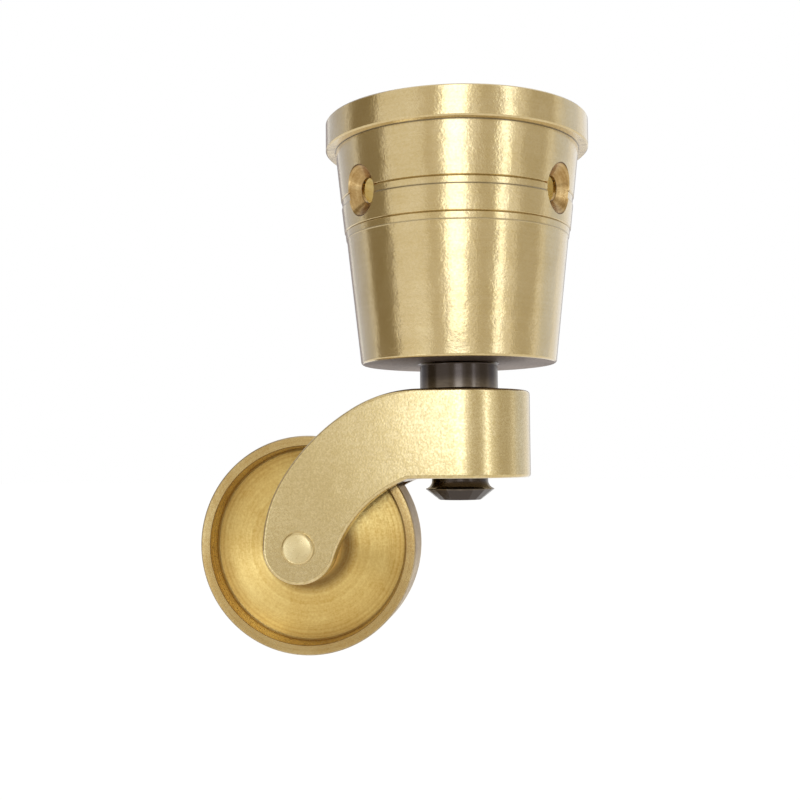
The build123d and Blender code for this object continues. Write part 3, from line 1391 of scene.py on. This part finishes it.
@dataclass
class Wheel:
    """The solid wheel: a flat tread, a narrow ring each side, a dished face and a hub."""

    radius: float = WHEEL_R
    tread: float = 8.0
    tread_edge: float = 0.2
    tread_round: float = 0.06
    ring: float = 1.45
    recess: float = 3.2
    recess_draft: float = math.radians(6.5)
    web_rise: float = 1.5
    hub_r: float = 5.0
    hub_half: float = box_mm("wheel")[1].y
    hub_fillet: float = 2.4
    foot_fillet: float = 0.35
    lip_round: float = 0.08
    hub_round: float = 0.25
    bore_r: float = 1.7
    # Colour of the painted shade in the wheel's corners, on its inner wall and round its hub
    painted_shade_colour: str = "#5e3413"
    slack: float = 0.02
    wall_facing: float = 0.7
    steps: int = 512
    arc_steps: int = 8

    @property
    def half(self) -> float:
        """Half the tread's width, in mm."""
        return self.tread / 2

    @property
    def foot_shade(self) -> EdgeRing:
        """Painted shade where the dished face meets the rim's inner wall."""
        return EdgeRing(self.foot_r, self.half - self.recess, 0.4, 0.9)

    @property
    def ring_shade(self) -> tuple[EdgeRing, EdgeRing]:
        """Shade on the inner and the outer edge of the ring's flat face."""
        inner = EdgeRing(self.radius - self.ring, self.half, 0.14, 0.75)
        return inner, EdgeRing(self.radius, self.half, 0.22, 0.35)

    @property
    def foot_r(self) -> float:
        """Radius at which the dished face meets the rim's inner wall, in mm."""
        return self.radius - self.ring - self.recess * math.tan(self.recess_draft)

    def section(self) -> list[Point]:
        """Draws the wheel's section, both sides.

        Returns:
            The closed section, in mm.
        """
        half, edge = self.half, self.tread_edge
        foot = half - self.recess
        side = [
            Corner(self.bore_r, self.hub_half),
            Corner(self.hub_r, self.hub_half, self.hub_round),
            Corner(self.hub_r, foot + self.web_rise, self.hub_fillet),
            Corner(self.foot_r, foot, self.foot_fillet),
            Corner(self.radius - self.ring, half, self.lip_round),
            Corner(self.radius - edge, half, self.tread_round),
            Corner(self.radius, half - edge, self.tread_round),
        ]
        other = [Corner(c.across, -c.along, c.radius) for c in reversed(side)]
        return rounded(side + other, closed=True, steps=self.arc_steps)

    def finish(self) -> Brass:
        """Turned and left from the tool: yellower, with rings that fan a lamp out into a wedge.

        Returns:
            The finish.
        """
        foot = self.half - self.recess
        return Brass(
            "bright_turned_brass", "#eed388", "#d5ae5f", 0.4, 0.9, AXLE, patches=0.3, streaks=0.5,
            flecks=0.4, grain_mm=0.3, grain_depth_mm=0.005, mark_mm=0.3, mark_depth_mm=0.003,
            wave_mm=3.0, wave_depth_mm=0.02, painted_shade_colour=self.painted_shade_colour,
            # Painted shade in the dish's outer corner, on the rim's inner wall, round the hub and on the
            # ring's edges
            painted_shade=(
                self.foot_shade,
                EdgeRing(self.foot_r + 0.2, self.half - self.recess / 2, 1.9, 0.25),
                EdgeRing(self.hub_r + 0.4, foot + self.web_rise, 2.4, 0.7),
                *self.ring_shade,
            ),
        )

    def faced(self) -> Brass:
        """The ring's flat face: a finer cut, which shows the tent more clearly than the dished face.

        Returns:
            The finish.
        """
        return Brass(
            "faced_brass", "#d0b781", "#b4945a", 0.24, 0.5, AXLE, patches=0.4, streaks=0.4, flecks=0.5,
            grain_mm=0.3, grain_depth_mm=0.01, mark_depth_mm=0.002, painted_shade_colour=self.painted_shade_colour,
            painted_shade=self.ring_shade,
        )

    def bored(self) -> Brass:
        """The rim's inner wall: bored smooth, so that it goes from shade to bright round the wheel.

        Returns:
            The finish.
        """
        # Painted shade under the lip and in the corner at the wall's foot
        lip = EdgeRing(self.radius - self.ring, self.half, 0.25, 0.8)
        return Brass(
            "bored_rim_brass", "#dcc68c", "#a98b57", 0.26, 0.4, AXLE, patches=0.4, streaks=0.6, flecks=0.4,
            mark_mm=0.4, mark_depth_mm=0.004, painted_shade_colour=self.painted_shade_colour, painted_shade=(self.foot_shade, lip),
        )

    def worn(self) -> Brass:
        """The tread: dulled and greyed by the floor.

        Returns:
            The finish.
        """
        return Brass(
            "worn_tread_brass", "#c4b18f", "#9d8a6f", 0.4, 0.5, AXLE, patches=0.6, flecks=0.6,
            grain_mm=0.35, grain_depth_mm=0.01, mark_mm=0.4, mark_depth_mm=0.003,
        )

    def build(self) -> None:
        """Builds and dresses the wheel."""
        wheel = turned("turned_wheel", self.section(), True, self.steps, AXLE.placed())
        even_normals(wheel)

        def choose(middle: Vector, normal: Vector) -> int:
            """Picks the ring's flat face, the rim's inner wall, the tread or the rest.

            Args:
                middle: The face's middle, in mm.
                normal: Its normal.

            Returns:
                The finish's number.
            """
            out = Vector((middle.x - AXLE_CENTRE.x, 0, middle.z - AXLE_CENTRE.z))
            if out.length < self.foot_r - self.slack:
                return WheelFace.DISH_AND_HUB
            facing = normal.dot(out.normalized())
            if abs(facing) > self.wall_facing:
                return WheelFace.INNER_WALL if facing < 0 else WheelFace.TREAD
            on_ring = abs(normal.y) > FACING and abs(middle.y) > self.half - self.slack / 2
            return WheelFace.RING if on_ring else WheelFace.DISH_AND_HUB

        finishes = [self.finish(), self.faced(), self.bored(), self.worn()]
        dress(wheel, finishes, Body.WHEEL, "wheel", choose)


@dataclass
class Axle:
    """The rivet through both cheeks, with a low struck head on each side."""

    shank_r: float = 1.65
    head_r: float = 2.32
    land: float = 0.35
    rise: float = 0.45
    dome_share: float = 0.27
    rim: float = 0.36
    rim_nick: float = 0.05
    rim_lip: float = 0.02
    line_in: float = 0.04
    line_out: float = 0.1
    rim_round: float = 0.25
    head_steps: int = 16
    steps: int = 192

    def section(self) -> list[Point]:
        """Draws the rivet's section from one head's top to the other's.

        Returns:
            The open section, in mm.
        """
        dome_r = self.head_r - self.rim
        top = CHEEK_FACE + self.land + self.rise
        head = dome(dome_r, self.rise * self.dome_share, top, self.head_steps)
        dome_foot = head[-1][1]

        # The dome ends in a fine line where the snap's edge stopped, then the rim rolls over
        edge = rounded(
            [
                Corner(dome_r + self.line_in, dome_foot - self.rim_nick),
                Corner(dome_r + self.line_out, dome_foot - self.rim_lip, self.rim_lip),
                Corner(self.head_r, CHEEK_FACE + self.land, self.rim_round),
                Corner(self.head_r, CHEEK_FACE),
                Corner(self.shank_r, CHEEK_FACE),
            ],
            closed=False,
        )
        upper = head + edge
        return upper + [(across, -along) for across, along in reversed(upper)]

    def build(self) -> None:
        """Builds and dresses the axle."""
        axle = turned("riveted_axle", self.section(), False, self.steps, AXLE.placed())
        even_normals(axle)
        dress(axle, [PEENED_BRASS], Body.HORN, "axle")


@dataclass(frozen=True)
class Panel:
    """A flat panel of the tent that only reflections see: a softbox above level 1, a grey card below.

    Sides and edges are degrees from the -Y side towards +X, and degrees up. The fades are the
    degrees over which the left, right, lower and upper edge melts into the tent.
    """

    name: str
    azimuths: Point
    elevations: Point
    distance: float
    level: float
    colour: str = "#ffffff"
    fades: tuple[float, float, float, float] = (2.0, 2.0, 4.0, 6.0)

    def material(self, width: float, height: float) -> bpy.types.Material:
        """Makes the panel's cloth.

        Args:
            width: The panel's width, in metres.
            height: Its height, in metres.

        Returns:
            The material.
        """
        made = empty_material(self.name + "_cloth")
        tree = made.node_tree
        place = add_node(tree, "ShaderNodeTexCoord").outputs["Object"]
        split = add_node(tree, "ShaderNodeSeparateXYZ", links={0: place}).outputs
        spans = (self.azimuths[1] - self.azimuths[0], self.elevations[1] - self.elevations[0])
        shown = None
        for axis, size, span, fades in (
            ("X", width, spans[0], self.fades[:2]),
            ("Y", height, spans[1], self.fades[2:]),
        ):
            for sign, fade in ((-1, fades[0]), (1, fades[1])):
                edge = sign * size / 2
                inner = edge - sign * size * fade / span
                side = add_node(
                    tree,
                    "ShaderNodeMapRange",
                    {"interpolation_type": "SMOOTHSTEP"},
                    {"From Min": edge, "From Max": inner, "To Min": 0.0, "To Max": 1.0},
                    {"Value": split[axis]},
                ).outputs[0]
                shown = side if shown is None else add_node(
                    tree, "ShaderNodeMath", {"operation": "MULTIPLY"}, links={0: shown, 1: side}
                ).outputs[0]
        glow = add_node(
            tree, "ShaderNodeEmission", values={"Color": linear(self.colour), "Strength": self.level}
        )
        clear = add_node(tree, "ShaderNodeBsdfTransparent")
        both = add_node(
            tree, "ShaderNodeMixShader", links={0: shown, 1: clear.outputs[0], 2: glow.outputs[0]}
        )
        add_node(tree, "ShaderNodeOutputMaterial", links={"Surface": both.outputs[0]})
        return made

    def build(self, look_at: Vector) -> bpy.types.Object:
        """Stands the panel up, facing the castor.

        Args:
            look_at: The castor's middle, in mm.

        Returns:
            The panel.
        """
        azimuth = math.radians(sum(self.azimuths) / 2)
        low, high = (math.tan(math.radians(e)) for e in self.elevations)
        level = Vector((math.sin(azimuth), -math.cos(azimuth), 0))
        width = 2 * self.distance * math.tan(math.radians((self.azimuths[1] - self.azimuths[0]) / 2)) * MM
        height = self.distance * (high - low) * MM
        middle = look_at + level * self.distance + Vector((0, 0, self.distance * (low + high) / 2))
        shape = bmesh.new()
        corners = [(-0.5, -0.5), (0.5, -0.5), (0.5, 0.5), (-0.5, 0.5)]
        shape.faces.new([shape.verts.new((x * width / MM, y * height / MM, 0)) for x, y in corners])
        made = finished(self.name, shape)
        across, up = Vector((level.y, -level.x, 0)), Vector((0, 0, 1))
        upright = Matrix((across, up, -level)).transposed().to_4x4()
        made.matrix_world = Matrix.Translation(middle * MM) @ upright
        made.data.materials.append(self.material(width, height))
        made.visible_camera = False
        made.visible_shadow = False
        made.visible_diffuse = False
        return made


COOL_CLOTH = "#e4eeff"  # faintly blue, which keeps lit brass from turning orange
WARM_CLOTH = "#fbf6ea"  # faintly warm, for the cards in front
STRAW_CLOTH = "#f6e6c5"  # warmer still, for the shaded sides

# Name, sides, edges, distance, level, cloth and fades
PANELS = (
    Panel("key_softbox", (-8.6, 15.4), (-6.8, 55), 250, 3.6, COOL_CLOTH, (5.0, 4.0, 1.5, 6)),
    Panel("side_softbox", (43.2, 54), (-14, 50), 500, 3.1, COOL_CLOTH, (3, 2, 4, 6)),
    Panel("left_inner_card", (-26, -9), (-14, 50), 300, 0.82, WARM_CLOTH, (4, 1, 4, 6)),
    Panel("middle_card", (22, 43.5), (-40, 60), 450, 0.76, WARM_CLOTH, (2, 2, 4, 6)),
    Panel("right_card", (64, 98), (-50, 60), 500, 0.7, WARM_CLOTH, (6, 4, 4, 6)),
    Panel("right_back_card", (101, 134), (-50, 60), 500, 0.95, "#eef3ff", (6, 8, 4, 6)),
    Panel("left_card", (-101, -65), (-50, 60), 500, 0.36, STRAW_CLOTH, (3, 3, 4, 6)),
    Panel("left_back_card", (-142, -99), (-50, 60), 520, 0.7, "#f2f4ff", (12, 3, 4, 6)),
    Panel("table_left", (-60, 0), (-50, -6.8), 200, 0.6, "#fbf5ea", (8, 4, 4, 9)),
    Panel("table_right", (-4, 50), (-55, -8), 204, 0.3, STRAW_CLOTH, (4, 8, 4, 9)),
    Panel("low_softbox", (-56, -27), (-50, -11.0), 185, 2.9, COOL_CLOTH, (10, 4, 8, 2)),
    Panel("low_reflector", (-44, -20), (-12.5, -5.4), 180, 2.0, COOL_CLOTH, (8, 4, 3, 1.5)),
    Panel("back_softbox", (140, 160), (-14, 50), 500, 1.0, fades=(3, 3, 4, 6)),
    Panel("back_card", (160, 214), (-50, 60), 500, 0.4, "#efe6ea", (3, 10, 4, 6)),
)


@dataclass
class Studio:
    """A white tent with softboxes and grey cards round the castor, a pale floor and the camera."""

    focal_px: float = 1150.0
    frame_px: float = 800.0
    sensor: float = 36.0
    camera_at: tuple[float, float, float] = (12.05, -170.07, -50.31)
    azimuth: float = math.radians(7.0)
    elevation: float = math.radians(-3.061)
    roll: float = math.radians(-0.493)
    floor_z: float = -125.0
    floor_half: float = 4000.0
    floor_white: str = "#f6f5f3"
    floor_lift: float = 0.4
    tent_level: float = 0.7
    seen_level: float = 1.0
    far_clip: float = 20.0
    look_at: tuple[float, float, float] = (0.0, 0.0, -40.0)
    items: list[bpy.types.Object] = field(default_factory=list)

    def camera(self) -> None:
        """Makes the camera at the photograph's viewpoint."""
        back = Vector(
            (
                math.sin(self.azimuth) * math.cos(self.elevation),
                -math.cos(self.azimuth) * math.cos(self.elevation),
                math.sin(self.elevation),
            )
        )
        level = Vector((math.cos(self.azimuth), math.sin(self.azimuth), 0))
        upright = back.cross(level)
        right = level * math.cos(self.roll) + upright * math.sin(self.roll)
        axes = Matrix((right, back.cross(right), back)).transposed().to_4x4()
        data = bpy.data.cameras.new("camera")
        data.sensor_width = self.sensor
        data.lens = self.focal_px / self.frame_px * self.sensor
        data.clip_start = MM
        data.clip_end = self.far_clip
        camera = bpy.data.objects.new("camera", data)
        camera.matrix_world = Matrix.Translation(Vector(self.camera_at) * MM) @ axes
        bpy.context.scene.collection.objects.link(camera)
        bpy.context.scene.camera = camera

    def world(self) -> None:
        """Makes the white tent: plain light on matt things, and white to the camera and to reflections."""
        world = bpy.data.worlds.new("white_tent")
        bpy.context.scene.world = world
        world.use_nodes = True
        tree = world.node_tree
        tree.nodes.clear()
        path = add_node(tree, "ShaderNodeLightPath").outputs
        seen = path["Is Camera Ray"]
        for ray in ("Is Glossy Ray", "Is Transmission Ray"):
            seen = add_node(
                tree,
                "ShaderNodeMath",
                {"operation": "ADD", "use_clamp": True},
                links={0: seen, 1: path[ray]},
            ).outputs[0]
        plain, white = (
            add_node(tree, "ShaderNodeBackground", values={"Color": WHITE, "Strength": level}).outputs[0]
            for level in (self.tent_level, self.seen_level)
        )
        both = add_node(tree, "ShaderNodeMixShader", links={0: seen, 1: plain, 2: white})
        add_node(tree, "ShaderNodeOutputWorld", links={"Surface": both.outputs[0]})

    def floor(self) -> None:
        """Lays a pale matt floor well below the castor, which hangs clear of it from its cup."""
        shape = bmesh.new()
        half = self.floor_half
        corners = ((-half, -half), (half, -half), (half, half), (-half, half))
        shape.faces.new([shape.verts.new((x, y, self.floor_z)) for x, y in corners])
        floor = finished("floor", shape)
        made = empty_material("matt_white_floor")
        tree = made.node_tree
        matt = add_node(tree, "ShaderNodeBsdfDiffuse", values={"Color": linear(self.floor_white)})
        lift = add_node(tree, "ShaderNodeEmission", values={"Strength": self.floor_lift})
        both = add_node(tree, "ShaderNodeAddShader", links={0: matt.outputs[0], 1: lift.outputs[0]})
        add_node(tree, "ShaderNodeOutputMaterial", links={"Surface": both.outputs[0]})
        floor.data.materials.append(made)
        self.items.append(floor)

    def build(self) -> None:
        """Builds the studio."""
        self.camera()
        self.world()
        self.floor()
        self.items += [panel.build(Vector(self.look_at)) for panel in PANELS]
        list(self.items)


def main() -> None:
    """Builds the castor and its studio."""
    logging.basicConfig(level=logging.INFO, format="%(name)s %(message)s")
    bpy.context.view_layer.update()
    bpy.context.scene.view_settings.view_transform = "Standard"
    Studio().build()
    for part in (Cup(), Spindle(), Horn(), Wheel(), Axle()):
        part.build()


if __name__ == "__main__":
    main()
